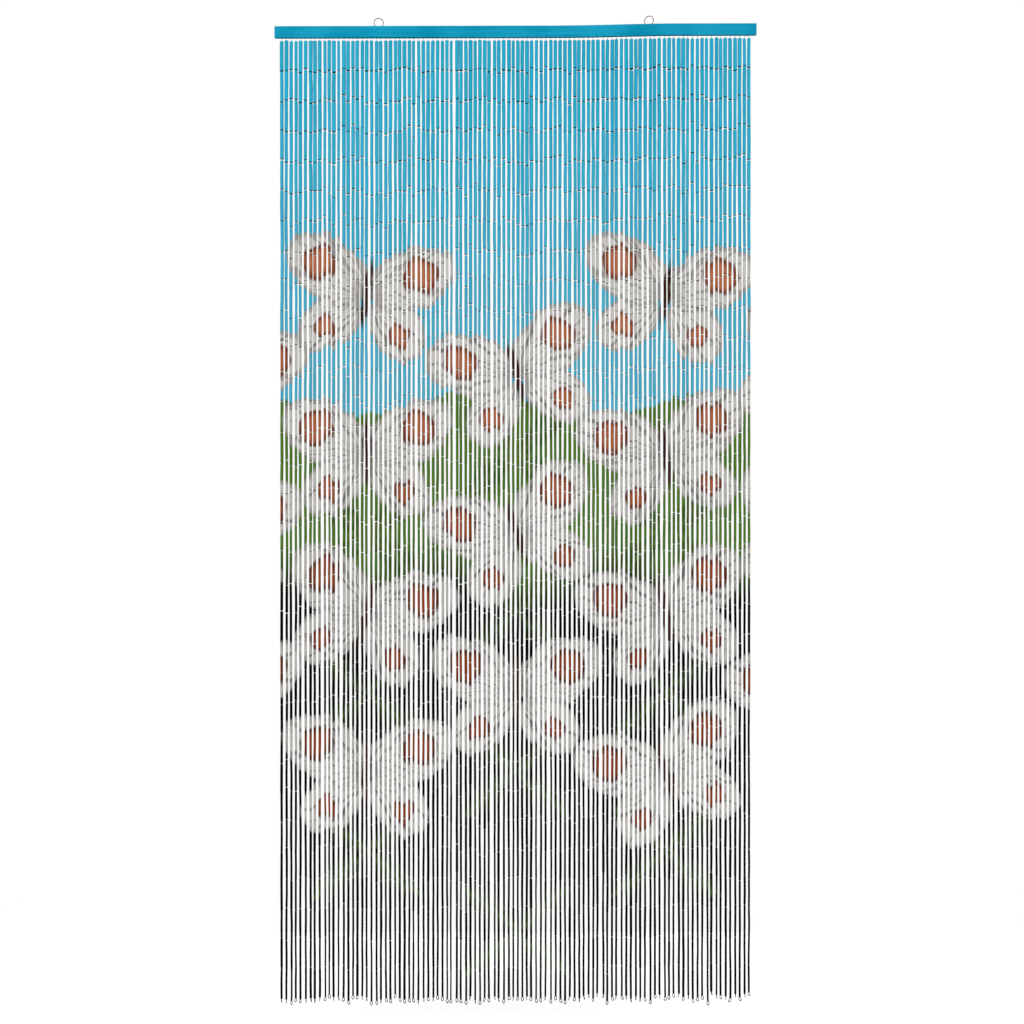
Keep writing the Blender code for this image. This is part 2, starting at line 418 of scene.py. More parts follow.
# A face looks up or down where its normal's height is past the first, and sideways where it is under the
# second
UPRIGHT, LEVEL = 0.9, 0.1
# How far a point may be off a line that it is meant to be on
OFF_LINE = 1e-5

select_only()
bpy.ops.mesh.primitive_cylinder_add(
    vertices=TUBE_SIDES, radius=TUBE_WIDE / 2, depth=TUBE_LONG, location=(0, 0, 0)
)
tube = open_mesh("tube_pattern")
choose(tube, "FACE", lambda face: abs(face.normal.z) > UPRIGHT)
bpy.ops.mesh.inset(thickness=TUBE_WALL)
bpy.ops.mesh.bridge_edge_loops()
choose(
    tube,
    "EDGE",
    lambda edge: abs(edge.verts[0].co.z - edge.verts[1].co.z) < OFF_LINE
    and all(v.co.xy.length > TUBE_WIDE / 2 - OFF_LINE for v in edge.verts),
)
bpy.ops.mesh.bevel(offset=TUBE_ARRIS, segments=1, affect="EDGES")
choose(
    tube,
    "FACE",
    lambda face: abs(face.normal.z) < LEVEL and face.calc_center_median().xy.dot(face.normal.xy) > 0,
)
bpy.ops.mesh.bisect(plane_co=(0, 0, 0), plane_no=(0, 0, 1))
close_mesh(tube)

# %% [markdown]
# ## Wire eyes in the joints
#
# Where two tubes meet, an eye of the upper tube's wire holds an eye of the lower one. One eye is modelled
# and used for both, the second time upside down and turned a quarter round. A three-sided circle is spun
# nearly all the way round, and its start is drawn up into a stem, which copies stretch to the middle of
# their tube's bore.

# %% Model one linking eye
LINK_WIRE = 0.00062
LINK_SIDES, LINK_STEPS = 3, 7
LINK_RADIUS = 0.00088
LINK_STEM = 0.0100
LINK_SWEEP = math.radians(325)

select_only()
bpy.ops.mesh.primitive_circle_add(vertices=LINK_SIDES, radius=LINK_WIRE / 2, location=(0, 0, 0))
link = open_mesh("link_pattern")
bpy.ops.transform.translate(value=(-LINK_RADIUS, 0, 0))
bpy.ops.mesh.spin(steps=LINK_STEPS, angle=LINK_SWEEP, center=(0, 0, 0), axis=(0, 1, 0))
choose(link, "VERT", lambda v: abs(v.co.z) < ONE_PLACE and v.co.x < 0)
bpy.ops.mesh.select_mode(type="EDGE")
bpy.ops.mesh.extrude_region_move(TRANSFORM_OT_translate={"value": (0, 0, LINK_STEM)})
bpy.ops.mesh.select_all(action="SELECT")
bpy.ops.mesh.fill_holes(sides=LINK_SIDES)
close_mesh(link)
low = min(v.co.z for v in link.data.vertices)
print("the link reaches", round(1000 * low, 2), "mm below its middle")

# %% [markdown]
# ## Foot ring
#
# The lowest wire of each string ends in a long ring below the last tube. It is spun as most of a circle,
# both ends are drawn together into a neck and up into the bore, and then the whole is stretched to the
# oval of the real one.

# %% Model one foot ring
RING_WIRE = 0.0015
RING_SIDES = 4
RING_STEPS = 10
RING_NECK = 0.00040
RING_STEM = 0.0060
RING_OPEN = math.radians(35)
# How high the neck is above the ring's middle, as a share of its radius
NECK_UP = 1.25
# How near to its middle the points of a wire's end lie, as a share of its thickness
END_NEAR = 0.6

ring_radius = (RING_WIDE - RING_WIRE) / 2
select_only()
bpy.ops.mesh.primitive_circle_add(vertices=RING_SIDES, radius=RING_WIRE / 2, location=(0, 0, 0))
ring = open_mesh("ring_pattern")
bpy.ops.transform.translate(value=(ring_radius, 0, 0))
move_points(ring, Matrix.Rotation(RING_OPEN - math.pi / 2, 4, "Y"), lambda v: True)
bpy.ops.mesh.spin(steps=RING_STEPS, angle=2 * math.pi - 2 * RING_OPEN, center=(0, 0, 0), axis=(0, -1, 0))
for side in (-1, 1):
    end = Vector((side * math.sin(RING_OPEN), 0, math.cos(RING_OPEN))) * ring_radius
    choose(ring, "VERT", lambda v: (v.co - end).length < RING_WIRE * END_NEAR)
    bpy.ops.mesh.select_mode(type="EDGE")
    neck = Vector((side * RING_NECK, 0, ring_radius * NECK_UP))
    bpy.ops.mesh.extrude_region_move(TRANSFORM_OT_translate={"value": neck - end})
    level = Matrix.Rotation(side * (math.pi / 2 - RING_OPEN), 4, "Y")
    move_points(ring, Matrix.Translation(neck) @ level @ Matrix.Translation(-neck), lambda v: v.select)
    bpy.ops.mesh.extrude_region_move(TRANSFORM_OT_translate={"value": (0, 0, RING_STEM)})
bpy.ops.mesh.select_all(action="SELECT")
bpy.ops.mesh.fill_holes(sides=RING_SIDES)
bpy.ops.object.mode_set(mode="OBJECT")
ring_bottom = min(v.co.z for v in ring.data.vertices)
neck_top = ring_radius * NECK_UP
stretch = RING_LONG / (neck_top - ring_bottom)
for v in ring.data.vertices:
    v.co.z = (min(v.co.z, neck_top) - neck_top) * stretch + max(v.co.z - neck_top, 0)
bpy.ops.object.mode_set(mode="EDIT")
close_mesh(ring)
print("the ring hangs", round(-1000 * min(v.co.z for v in ring.data.vertices), 2), "mm")

# %% [markdown]
# ## Maps for the patterns
#
# When the curtain's paint is baked, every face needs its own place on a picture, and no two may overlap. A
# tube is easiest to lay out as its maker would unroll it: its sides become one column after another, and
# up the picture come the bore, the lower end, the long outside and the upper end. The thin wires only need
# room of their own, which Lightmap Pack gives them.

# %% Lay out the tube, the link and the ring
BAKE_MAP = "OFBake"
BORE_BAND, OUTSIDE_BAND = (0.00, 0.07), (0.15, 0.88)
# Bands of the two ends, upper and lower, from the tube's outside inwards
ARRIS_BANDS = ((0.88, 0.92), (0.15, 0.12))
SAWN_BANDS = ((0.92, 0.97), (0.12, 0.07))
bore_radius = TUBE_WIDE / 2 - TUBE_WALL


def tube_band(face):
    """Which band of the map a face of the tube belongs to, and how far up in it a point lies."""
    tilt = abs(face.normal.z)
    lower = face.center.z < 0
    outward = face.center.xy.dot(face.normal.xy) > 0
    if tilt < LEVEL and not outward:
        return BORE_BAND, lambda co: 0.5 + co.z / TUBE_LONG
    if tilt < LEVEL:
        return OUTSIDE_BAND, lambda co: 0.5 + co.z / (TUBE_LONG - 2 * TUBE_ARRIS)
    if tilt > UPRIGHT:
        rim = TUBE_WIDE / 2 - TUBE_ARRIS
        return SAWN_BANDS[lower], lambda co: (rim - co.xy.length) / (rim - bore_radius)
    return ARRIS_BANDS[lower], lambda co: (abs(co.z) - TUBE_LONG / 2 + TUBE_ARRIS) / TUBE_ARRIS


tube.data.uv_layers.active.name = BAKE_MAP
tube_map = tube.data.uv_layers[BAKE_MAP].data
for face in tube.data.polygons:
    (low, high), measure = tube_band(face)
    middle = math.atan2(face.center.y, face.center.x)
    column = round(middle / (2 * math.pi) * TUBE_SIDES) % TUBE_SIDES
    for corner in face.loop_indices:
        co = tube.data.vertices[tube.data.loops[corner].vertex_index].co
        off = (math.atan2(co.y, co.x) - middle + math.pi) % (2 * math.pi) - math.pi
        across = (column + (1 if off > 0 else 0)) / TUBE_SIDES
        up = low + (high - low) * min(max(measure(co), 0.0), 1.0)
        tube_map[corner].uv = (across, up)

for wire in (link, ring):
    wire.data.uv_layers.active.name = BAKE_MAP
    select_only(wire)
    bpy.ops.object.mode_set(mode="EDIT")
    bpy.ops.mesh.select_all(action="SELECT")
    bpy.ops.uv.lightmap_pack(
        PREF_CONTEXT="ALL_FACES", PREF_PACK_IN_ONE=True, PREF_BOX_DIV=12, PREF_MARGIN_DIV=0.2
    )
    bpy.ops.object.mode_set(mode="OBJECT")
columns = sorted({round(corner.uv[0] * TUBE_SIDES) for corner in tube_map})
print("columns of the tube's map", columns)

# %% [markdown]
# ## How the tubes hang
#
# No two tubes are quite as long, so the joints of neighbouring strings drift apart on their way down while
# the strings' ends stay nearly level. Each string's tubes therefore get random lengths that are corrected
# to add up to the string. The gaps close towards the foot, where less weight pulls on the eyes. Joints
# also wander sideways by a few tenths of a millimetre. A string's tubes are sawn from one cane, so they
# are thick or thin together, and its top tube is pulled more or less close to the slat. The plain solids
# have square rods for strings, so a round tube of about the same section is a little wider than they are,
# but no tube may be wider than the room between the strings beside it, or stand out behind the slat.

# %% Plan every tube
TUBES = 32
TUBE_SEED = 5100
TUBE_LENGTH_SPREAD = 0.0030
TUBE_LENGTH_MOST = 0.0085
JOINT_GAP = 0.0016
JOINT_GAP_SPREAD = 0.0007
JOINT_GAP_MOST = 0.0012
JOINT_GAP_CLOSES = 0.55
JOINT_SPREAD = 0.00022
JOINT_MOST = 0.0006
WIDTH_SPREAD = 0.05
WIDTH_MOST = 0.10
TUBE_AIR = 0.0001
BOW_ROOM = 0.0005
TUBE_ROUND = 1.06
FOOT_ROUND = 1.15
CANE_SEED = 5200
CANE_SPREAD = 0.08
CANE_MOST = 0.18
TOP_RISE = 0.0010
TOP_RISE_SPREAD = 0.0006
TOP_RISE_MOST = 0.0010


def joint_plan(strand, shape):
    """One string's tube ends, its joints across, in depth and in height, and how thick its cane is."""
    draws = random.Random(TUBE_SEED + strand)
    top = header_rise(shape["across"][0]) - HEADER_TALL / 2 - TOP_GAP
    foot = top - shape["length"]
    gaps = [JOINT_GAP + held(JOINT_GAP_SPREAD, JOINT_GAP_MOST, draws) for _ in range(TUBES - 1)]
    gaps = [gap * (1 - JOINT_GAP_CLOSES * joint / TUBES) for joint, gap in enumerate(gaps)]
    wander = [held(TUBE_LENGTH_SPREAD, TUBE_LENGTH_MOST, draws) for _ in range(TUBES)]
    even = (shape["length"] - sum(gaps) - sum(wander)) / TUBES
    tops, bottoms = [], []
    z = top
    for length, gap in zip(wander, [*gaps, 0.0]):
        tops.append(z)
        bottoms.append(z - length - even)
        z = bottoms[-1] - gap
    rows = [top - SHOULDER + (foot - top + 2 * SHOULDER) * share for share, _ in TUBE_WIDTHS]
    joints = [top, *[(b + t) / 2 for b, t in zip(bottoms, tops[1:])], foot]
    across = np.interp([-z for z in joints], [-z for z in rows], shape["across"])
    depths = np.interp([-z for z in joints], [-z for z in rows], shape["depths"])
    for joint in range(1, TUBES + 1):
        across[joint] += held(JOINT_SPREAD, JOINT_MOST, draws)
        depths[joint] += held(JOINT_SPREAD, JOINT_MOST, draws)
    own = random.Random(CANE_SEED + strand)
    plan = {"tops": tops, "bottoms": bottoms, "joints": joints, "across": across, "depths": depths}
    plan["cane"] = 1 + held(CANE_SPREAD, CANE_MOST, own)
    tops[0] += TOP_RISE + held(TOP_RISE_SPREAD, TOP_RISE_MOST, own)
    return plan


plans = [joint_plan(strand, shape) for strand, shape in enumerate(strands)]
lengths = [t - b for plan in plans for t, b in zip(plan["tops"], plan["bottoms"])]
print("tubes from", round(min(lengths), 4), "to", round(max(lengths), 4), "m long")


def room_beside(strand, z):
    """The distance at one height from a string's line to the nearer neighbour's."""
    here, *others = [
        float(np.interp(-z, [-joint for joint in plans[i]["joints"]], plans[i]["across"]))
        for i in (strand, strand - 1, strand + 1)
        if 0 <= i < STRANDS
    ]
    return min(abs(here - other) for other in others)


def tube_width(strand, number, draws):
    """How wide one tube is: by its drop, with its own chance, and no wider than there is room for."""
    plan = plans[strand]
    middle = (plan["tops"][number] + plan["bottoms"][number]) / 2
    share = (plan["joints"][0] - middle) / (plan["joints"][0] - plan["joints"][-1])
    usual = np.interp(share, [row[0] for row in TUBE_WIDTHS], [row[1] for row in TUBE_WIDTHS])
    wish = float(usual) * (TUBE_ROUND + (FOOT_ROUND - TUBE_ROUND) * share)
    wish *= plan["cane"] * (1 + held(WIDTH_SPREAD, WIDTH_MOST, draws))
    room = min(room_beside(strand, plan["tops"][number]), room_beside(strand, plan["bottoms"][number]))
    off_middle = max(abs(float(depth) - MID_DEPTH) for depth in plan["depths"][number : number + 2])
    return min(wish, room - TUBE_AIR, HEADER_DEEP - 2 * (off_middle + BOW_ROOM))


# %% [markdown]
# ## Copies joined into bundles
#
# Three thousand objects would be slow to handle, so the copies are joined as they are made: the points of
# a pattern are read once as numbers, moved for each copy, and collected in a bundle that becomes one mesh.
# Each point also remembers three things that the paint will ask for: a random tone of its tube, how far
# along the tube it is, and how far its string has slipped since the picture was painted.

# %% Read the patterns and make a bundle
PAINTED, CUT, STEEL = 0, 1, 2


def read_pattern(pattern, finish):
    """A pattern as numbers: points, faces, the finish of each face, and the map's corners."""
    mesh = pattern.data
    corners = np.zeros(2 * len(mesh.loops), np.float32)
    mesh.uv_layers[BAKE_MAP].data.foreach_get("uv", corners)
    return {
        "points": np.array([v.co for v in mesh.vertices]),
        "faces": [tuple(face.vertices) for face in mesh.polygons],
        "finish": [finish(face) for face in mesh.polygons],
        "map": corners.reshape(-1, 2),
    }


def tube_finish(face):
    outward = face.center.xy.dot(face.normal.xy) > 0
    return PAINTED if outward and abs(face.normal.z) < UPRIGHT else CUT


tube_numbers = read_pattern(tube, tube_finish)
link_numbers = read_pattern(link, lambda face: STEEL)
ring_numbers = read_pattern(ring, lambda face: STEEL)
for pattern in (tube, link, ring):
    bpy.data.objects.remove(pattern, do_unlink=True)


def new_bundle():
    return {"points": [], "faces": [], "finish": [], "map": [], "notes": [], "count": 0}


def add_copy(bundle, numbers, points, notes, cell):
    """Adds one copy: its moved points, (tone, share, slip) of each, and its cell of the map."""
    left, low, wide, tall = cell
    start = bundle["count"]
    bundle["points"].append(points)
    bundle["faces"].extend([tuple(start + i for i in face) for face in numbers["faces"]])
    bundle["finish"].extend(numbers["finish"])
    bundle["map"].append(numbers["map"] * (wide, tall) + (left, low))
    bundle["notes"].append(notes)
    bundle["count"] += len(points)


# %% Place one tube
OVAL_SPREAD = 0.02
TAPER_SPREAD = 0.03
BOW_SPREAD = 0.00018
SLANT_SPREAD = 0.05
SHAPE_MOST = 2.5
END_SHARE = 0.1


def spread_pair(spread, draws):
    return np.array([held(spread, SHAPE_MOST * spread, draws) for _ in range(2)])


def placed_tube(top, bottom, width, draws):
    """The tube pattern between two points: turned, a little oval, tapered, bowed, sawn a little askew."""
    points = tube_numbers["points"]
    share = 0.5 - points[:, 2] / TUBE_LONG
    oval, taper = spread_pair(OVAL_SPREAD, draws)[0], spread_pair(TAPER_SPREAD, draws)[0]
    bow = spread_pair(BOW_SPREAD, draws)
    slants = [spread_pair(SLANT_SPREAD, draws) for _ in range(2)]
    turn = draws.uniform(0, 2 * math.pi)
    across, deep = math.cos(turn), math.sin(turn)
    x = points[:, 0] * across - points[:, 1] * deep
    y = points[:, 0] * deep + points[:, 1] * across
    size = width / TUBE_WIDE * (1 + taper * (0.5 - share))
    x, y = x * size * (1 + oval), y * size * (1 - oval)
    line = np.array(top) + np.outer(share, np.array(bottom) - np.array(top))
    bulge = 4 * share * (1 - share)
    ends = [share < END_SHARE, share > 1 - END_SHARE]
    tilt = sum(end * (x * slant[0] + y * slant[1]) for end, slant in zip(ends, slants))
    return np.stack([x + line[:, 0] + bow[0] * bulge, y + line[:, 1] + bow[1] * bulge, line[:, 2] + tilt], 1)


# %% Place one linking eye
LINK_APART = 0.00090
LINK_FILL = 0.92
LINK_LEAST = 0.62
LINK_MOST = 1.10


def link_size(width):
    """How big the eyes of a joint are, so that they go into the bore of a tube of that width."""
    bore = width * bore_radius / (TUBE_WIDE / 2)
    return min(max(LINK_FILL * bore / (2 * LINK_RADIUS + LINK_WIRE), LINK_LEAST), LINK_MOST)


def placed_link(joint, size, turn, stem_to, upper):
    """One eye at a joint. The upper one hangs from a stem that goes up, the lower one is its mirror."""
    x, y, z = link_numbers["points"].T * size
    x = x + size * LINK_RADIUS / 2
    stem = link_numbers["points"][:, 2] > LINK_STEM / 2
    way = 1 if upper else -1
    middle = joint[2] + way * size * LINK_APART / 2
    height = np.where(stem, stem_to, middle + way * z)
    y = y * way
    across, deep = math.cos(turn), math.sin(turn)
    return np.stack([joint[0] + x * across - y * deep, joint[1] + x * deep + y * across, height], 1)


# %% [markdown]
# The foot rings hang every way round. Seen from the front most show as rings and about a third edge-on,
# and many lean a little, as far as the ring next door lets them.

# %% Place one foot ring
RING_FACE_TURN = 32.0
RING_EDGE_TURN = 14.0
RING_LEAN_SPREAD = 0.0011
RING_LEAN_MOST = 3 * RING_LEAN_SPREAD
RING_AIR = 0.0002


def ring_turn(shape, draws):
    if shape["edge_on"]:
        return math.radians(90 + draws.uniform(-RING_EDGE_TURN, RING_EDGE_TURN))
    return math.radians(draws.uniform(-RING_FACE_TURN, RING_FACE_TURN))


def half_across(turn):
    """Half of a ring's width as seen from the front."""
    return (RING_WIDE * abs(math.cos(turn)) + RING_WIRE * abs(math.sin(turn))) / 2


ring_draws = random.Random(TUBE_SEED - 1)
ring_turns = [ring_turn(shape, ring_draws) for shape in strands]
ring_leans = []
for strand, turn in enumerate(ring_turns):
    here = plans[strand]["across"][-1]
    lean = held(RING_LEAN_SPREAD, RING_LEAN_MOST, ring_draws)
    for other, way in ((strand - 1, -1), (strand + 1, 1)):
        if 0 <= other < STRANDS:
            space = abs(plans[other]["across"][-1] - here)
            space -= half_across(turn) + half_across(ring_turns[other])
            most = max((space - RING_AIR) / 2, 0.0)
            lean = way * min(way * lean, most)
    ring_leans.append(lean)
print("rings lean up to", round(1000 * max(map(abs, ring_leans)), 1), "mm")


def placed_ring(foot, turn, lean):
    x, y, z = ring_numbers["points"].T
    across, deep = math.cos(turn), math.sin(turn)
    shift = lean * np.maximum(-z, 0) / RING_LONG
    return np.stack(
        [foot[0] + x * across - y * deep + shift, foot[1] + x * deep + y * across, foot[2] + z], 1
    )


# %% [markdown]
# ## Twenty bundles of five strings
#
# Five strings make one piece. On the map of a piece the tubes lie in eight rows of twenty, and the wires
# in a band above them. Tubes come first in the mesh and wires after, which lets the shading treat them
# apart: a tube has sharp ends, while a three-sided wire should look round all over.

# %% Hang the strings
STRANDS_IN_PIECE = 5
# Cells of the map: columns, rows, lower and upper edge of all the rows, and margin below and above a cell
TUBE_CELLS = (20, 8, 0.00, 0.87, 0.02)
WIRE_CELLS = (42, 8, 0.88, 1.00, 0.04)
CELL_SIDE = 0.04
SLIP_SPREAD = 0.0035
SLIP_MOST = 0.0080
HEADER_WIRE_UP = 0.0045
FIRST_JOINT_UP = 0.0010
TUBE_SHARP = math.radians(40)


def map_cell(number, columns, rows, low, high, foot):
    """One cell of the map: its left and lower edge, its width and its height."""
    row, column = divmod(number, columns)
    wide, tall = 1 / columns, (high - low) / rows
    left, bottom = (column + CELL_SIDE) * wide, low + (row + foot) * tall
    return left, bottom, (1 - 2 * CELL_SIDE) * wide, (1 - 2 * foot) * tall


def alike(count, tone, slip):
    """The same notes for every point of a wire."""
    return np.tile((tone, 0.5, slip), (count, 1))


def hang_tubes(bundle, strand, number, draws, slip):
    """Adds one string's tubes, and returns their widths."""
    plan = plans[strand]
    ends = list(zip(plan["across"], plan["depths"]))
    share = 0.5 - tube_numbers["points"][:, 2] / TUBE_LONG
    widths = []
    for tube_number, (top, bottom) in enumerate(zip(plan["tops"], plan["bottoms"])):
        width = tube_width(strand, tube_number, draws)
        points = placed_tube((*ends[tube_number], top), (*ends[tube_number + 1], bottom), width, draws)
        notes = np.stack([np.full(len(share), draws.random()), share, np.full(len(share), slip)], 1)
        add_copy(bundle, tube_numbers, points, notes, map_cell(number + tube_number, *TUBE_CELLS))
        widths.append(width)
    return widths


def hang_wires(bundle, strand, number, draws, slip, widths):
    """Adds one string's eyes, from the wire in the slat down to the foot ring."""
    plan = plans[strand]
    middles = [(top + bottom) / 2 for top, bottom in zip(plan["tops"], plan["bottoms"])]
    root = header_rise(plan["across"][0]) - HEADER_TALL / 2
    uppers = [root + HEADER_WIRE_UP, *middles]
    heights = [plan["joints"][0] + FIRST_JOINT_UP, *plan["joints"][1:-1]]
    count = len(link_numbers["points"])
    for joint, height in enumerate(heights):
        place = (plan["across"][joint], plan["depths"][joint], height)
        size = link_size(min(widths[max(joint - 1, 0)], widths[joint]))
        turn = draws.uniform(0, 2 * math.pi)
        for upper, stem_to in ((True, uppers[joint]), (False, middles[joint])):
            points = placed_link(place, size, turn if upper else turn + math.pi / 2, stem_to, upper)
            notes = alike(count, draws.random(), slip)
            add_copy(bundle, link_numbers, points, notes, map_cell(number, *WIRE_CELLS))
            number += 1
    foot = (plan["across"][-1], plan["depths"][-1], plan["bottoms"][-1] + RING_TOP)
    points = placed_ring(foot, ring_turns[strand], ring_leans[strand])
    notes = alike(len(points), draws.random(), slip)
    add_copy(bundle, ring_numbers, points, notes, map_cell(number, *WIRE_CELLS))
    return number + 1


def write_map(mesh, name, corners):
    mesh.uv_layers.new(name=name)
    mesh.uv_layers[name].data.foreach_set("uv", corners.astype(np.float32).ravel())


def bundle_mesh(name, bundle, wires_from):
    """Makes one object of a bundle, with its maps and its shading."""
    points = np.concatenate(bundle["points"])
    notes = np.concatenate(bundle["notes"])
    mesh = bpy.data.meshes.new(name)
    mesh.from_pydata(points, [], bundle["faces"])
    mesh.polygons.foreach_set("material_index", bundle["finish"])
    corner_points = np.array([i for face in bundle["faces"] for i in face])
    at, note = points[corner_points], notes[corner_points]
    write_map(mesh, "Painted", np.stack([at[:, 0], at[:, 2] + note[:, 2]], 1))
    write_map(mesh, "Tube", note[:, :2])
    write_map(mesh, BAKE_MAP, np.concatenate(bundle["map"]))
    piece = bpy.data.objects.new(name, mesh)
    bpy.context.scene.collection.objects.link(piece)
    select_only(piece)
    bpy.ops.object.shade_smooth_by_angle(angle=TUBE_SHARP)
    edges = np.zeros(2 * len(mesh.edges), np.int32)
    mesh.edges.foreach_get("vertices", edges)
    sharp = np.zeros(len(mesh.edges), bool)
    mesh.attributes["sharp_edge"].data.foreach_get("value", sharp)
    sharp &= edges.reshape(-1, 2).max(1) < wires_from
    mesh.attributes["sharp_edge"].data.foreach_set("value", sharp)
    return piece


pieces = []
for first in range(0, STRANDS, STRANDS_IN_PIECE):
    bundle = new_bundle()
    hung = []
    for strand in range(first, first + STRANDS_IN_PIECE):
        draws = random.Random(TUBE_SEED + STRANDS + strand)
        slip = held(SLIP_SPREAD, SLIP_MOST, draws)
        widths = hang_tubes(bundle, strand, (strand - first) * TUBES, draws, slip)
        hung.append((strand, draws, slip, widths))
    wires_from = bundle["count"]
    number = 0
    for strand, draws, slip, widths in hung:
        number = hang_wires(bundle, strand, number, draws, slip, widths)
    name = f"strings_{first + 1:03d}_to_{first + STRANDS_IN_PIECE:03d}"
    pieces.append(bundle_mesh(name, bundle, wires_from))
faces = sum(len(piece.data.polygons) for piece in pieces)
print(len(pieces), "bundles with", faces, "faces and", number, "wires in the last")

# %% [markdown]
# ## Colours and nodes
#
# Paint shops and designers give colours as hex codes, which are made for screens. Light adds up in linear
# values, so every code is turned linear once, by one function. A second small function adds a node to a
# material and links it, so that each material below reads as a list of what happens to the surface. Each
# material gets that function bound to its own tree, under the short name node. Two kinds of node come again
# and again, a mix of two colours and a soft step, so their sockets get names.


# %% Helpers for materials
def linear(code):
    """A hex colour code as linear red, green and blue, with full cover."""
    shares = [int(code[i : i + 2], 16) / 255 for i in (1, 3, 5)]
    return [s / 12.92 if s <= 0.04045 else ((s + 0.055) / 1.055) ** 2.4 for s in shares] + [1.0]


def add_node(tree, kind, inputs, output=0, **settings):
    """Adds a node with its settings, fills or links its inputs, and returns one of its outputs."""
    node = tree.nodes.new("ShaderNode" + kind)
    for name, value in settings.items():
        setattr(node, name, value)
    for socket, value in inputs.items():
        if isinstance(value, bpy.types.NodeSocket):
            tree.links.new(value, node.inputs[socket])
        else:
            node.inputs[socket].default_value = linear(value) if isinstance(value, str) else value
    return None if output is None else node.outputs[output]


def new_material(name, inputs_of):
    """A material of one surface, whose inputs come from a function that is given its own add_node."""
    material = bpy.data.materials.new(name)
    material.use_nodes = True
    tree = material.node_tree
    tree.nodes.clear()
    node = functools.partial(add_node, tree)
    surface = node("BsdfPrincipled", inputs_of(node))
    node("OutputMaterial", {"Surface": surface}, output=None)
    return material


# A mix of colours: its share, the colour under and the colour over, then its result and its settings
SHARE, UNDER, OVER, MIXED = 0, 6, 7, 2
COLOUR = {"data_type": "RGBA", "clamp_factor": True}
# A soft step: the value it looks at, where it is 0 and where it is 1, and its setting
VALUE, NONE_AT, FULL_AT = 0, 1, 2
SOFT = {"interpolation_type": "SMOOTHSTEP"}
print("white is", linear("#ffffff"))

# %% [markdown]
# ## The painted picture
#
# The curtain is laid flat and airbrushed over stencils: a sky-blue ground that gets hazy lower down, a wavy
# green one under it, black at the foot, dark leaves on the green and the black, and over them rows of pale
# butterflies with rust-orange spots, sprayed more heavily from row to row down the curtain. Everything is
# soft at its edge, because spray drifts under a stencil. The picture is a drawing in metres, made from the
# place across the curtain and the drop below the slat, so it runs on from string to string.

# %% Sizes of the picture
HAZE_FROM = 0.05
SKY_END, SKY_WAVE, SKY_WAVE_LONG = 0.770, 0.022, 0.50
GREEN_END, GREEN_WAVE, GREEN_WAVE_LONG = 1.130, 0.030, 0.36
GREEN_FADE = 0.060
STENCIL_BLUR = 0.005
# How far along a wave starts, in radians to each metre of its edge's drop, so that no two run alike
WAVE_START = 40
LATTICE_ACROSS, LATTICE_DOWN = 0.620, 0.330

# Rows of butterflies: place across of one of them, drop of the first, number of rows
BUTTERFLIES = (
    (0.312, 0.545, 4),
    (0.002, 0.710, 3),
)
# Rows of leaves between them, in the same columns
LEAVES = (
    (0.002, 0.875, 4),
    (0.312, 1.040, 3),
)
# Wings: middle out, middle up, tilt, half length, half width, spot out, spot up, spot radius
WINGS = (
    (0.070, -0.066, -48.0, 0.072, 0.051, 0.078, -0.077, 0.024),
    (0.088, 0.043, 28.0, 0.094, 0.062, 0.106, 0.054, 0.037),
)
# Where the darker edge of a spot starts, as a share of its radius
SPOT_EDGE = 0.5
BODY_WIDE, BODY_LONG = 0.009, 0.064
BODY_FROM, BODY_TO = 1.3, 0.8
# Where a wing's rim starts, where the wing ends and how far its edge is blurred, as shares of its radius
RIM_FROM, WING_END, WING_BLUR = 0.86, 0.98, 0.08
# Veins: how many to a radian, how pale they are between, and how far from the body they start
VEINS, VEIN_DARK, VEIN_PALE, VEINS_FROM = 11.0, 0.34, 0.50, 0.05
# Paints of the shading, the wing, the edge of a spot and the spot, each as sprayed lightly and heavily
BUTTERFLY_PAINTS = (
    ("#84817d", "#5f5c58"),
    ("#cdcac5", "#b7b4af"),
    ("#6e3322", "#3e1307"),
    ("#b96f4a", "#883c17"),
)
# The drops from which to which the spray gets heavier
HEAVY_FROM, HEAVY_TO = 0.50, 1.35
TILT_MOST, TILT_SEED = math.radians(24), (0.37, 0.61)
LEAF_LONG, LEAF_WIDE, LEAF_SLOPE = 0.150, 0.026, math.radians(40)
LEAF_RIB, LEAF_BLUR, LEAF_THIN = 0.010, 0.004, 0.45
# How far spray drifts under a small stencil, how wavy that makes an edge, and in how many waves to a metre
SMALL_BLUR, DRIFT, DRIFT_WAVES = 0.003, 0.016, 24.0
# Clouds of thicker paint to a metre
CLOUDS = 3.0


def wave_edge(node, across, drop, end, high, long, fade):
    """How far a place lies past a wavy edge across the curtain, from 0 to 1."""
    angle = node("Math", {0: across, 1: 2 * math.pi / long, 2: WAVE_START * end}, operation="MULTIPLY_ADD")
    swing = node("Math", {0: angle}, operation="SINE")
    level = node("Math", {0: swing, 1: -high, 2: drop}, operation="MULTIPLY_ADD")
    return node("MapRange", {VALUE: level, NONE_AT: end - fade, FULL_AT: end + fade}, **SOFT)


